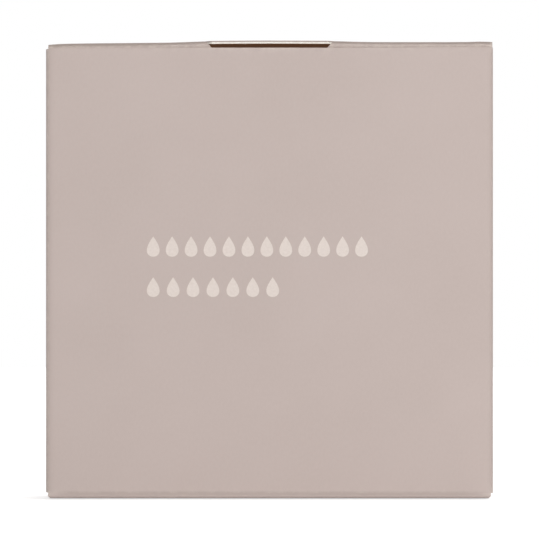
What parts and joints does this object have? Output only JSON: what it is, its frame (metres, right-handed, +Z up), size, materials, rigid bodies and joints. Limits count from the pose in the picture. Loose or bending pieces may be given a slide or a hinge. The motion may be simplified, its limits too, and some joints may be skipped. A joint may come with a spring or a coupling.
{
  "type": "boxed shower cap",
  "caption": "Square flat folding carton with tuck lid, lifting lip, tuck base and dust flaps, holding a folded film shower cap with an elastic hem.",
  "frame": {"origin": "under the middle of the base panel, on the surface that the carton stands on", "axes": "+Z up from the base to the lid, -Y towards the front panel, +X to the right seen from the front"},
  "size_m": [0.07, 0.018, 0.0716],
  "materials": {
    "board": "matte",
    "glue": "satin",
    "film": "satin",
    "elastic": "matte"
  },
  "bodies": {
    "sleeve": {"front_panel": "board", "back_panel": "board", "left_side_panel": "board", "right_side_panel": "board", "glue_flap": "board", "seam_glue": "glue"},
    "lid": {"lid_panel": "board"},
    "lid_tuck": {"lid_tuck_flap": "board"},
    "lid_dust_left": {"lid_dust_flap_left": "board"},
    "lid_dust_right": {"lid_dust_flap_right": "board"},
    "base": {"base_panel": "board"},
    "base_tuck": {"base_tuck_flap": "board"},
    "base_dust_left": {"base_dust_flap_left": "board"},
    "base_dust_right": {"base_dust_flap_right": "board"},
    "cap": {"cap_film": "film", "cap_hem": "film", "cap_elastic": "elastic"}
  },
  "joints": [
    {"name": "lid_hinge", "type": "hinge", "parent": "sleeve", "child": "lid", "pos_m": [0, 0.00865, 0.07125], "axis": [-1, 0, 0], "range_deg": [0, 150]},
    {"name": "lid_tuck_fold", "type": "hinge", "parent": "lid", "child": "lid_tuck", "pos_m": [0, -0.00795, 0.07125], "axis": [1, 0, 0], "range_deg": [0, 22.5]},
    {"name": "lid_dust_left_fold", "type": "hinge", "parent": "sleeve", "child": "lid_dust_left", "pos_m": [-0.03465, 0, 0.07065], "axis": [0, -1, 0], "range_deg": [0, 45]},
    {"name": "lid_dust_right_fold", "type": "hinge", "parent": "sleeve", "child": "lid_dust_right", "pos_m": [0.03465, 0, 0.07065], "axis": [0, 1, 0], "range_deg": [0, 45]},
    {"name": "base_hinge", "type": "hinge", "parent": "sleeve", "child": "base", "pos_m": [0, -0.00865, 0.00035], "axis": [-1, 0, 0], "range_deg": [0, 150]},
    {"name": "base_tuck_fold", "type": "hinge", "parent": "base", "child": "base_tuck", "pos_m": [0, 0.00795, 0.00035], "axis": [1, 0, 0], "range_deg": [0, 22.5]},
    {"name": "base_dust_left_fold", "type": "hinge", "parent": "sleeve", "child": "base_dust_left", "pos_m": [-0.03465, 0, 0.00095], "axis": [0, 1, 0], "range_deg": [0, 45]},
    {"name": "base_dust_right_fold", "type": "hinge", "parent": "sleeve", "child": "base_dust_right", "pos_m": [0.03465, 0, 0.00095], "axis": [0, -1, 0], "range_deg": [0, 45]},
    {"name": "cap_slide", "type": "slide", "parent": "sleeve", "child": "cap", "axis": [0, 0, 1], "range_m": [0, 0.0115]}
  ],
  "couplings": [
    {"joint": "lid_tuck_fold", "follows": "lid_hinge", "ratio": 0.15},
    {"joint": "lid_dust_left_fold", "follows": "lid_hinge", "ratio": 0.3},
    {"joint": "lid_dust_right_fold", "follows": "lid_hinge", "ratio": 0.3},
    {"joint": "base_tuck_fold", "follows": "base_hinge", "ratio": 0.15},
    {"joint": "base_dust_left_fold", "follows": "base_hinge", "ratio": 0.3},
    {"joint": "base_dust_right_fold", "follows": "base_hinge", "ratio": 0.3}
  ]
}
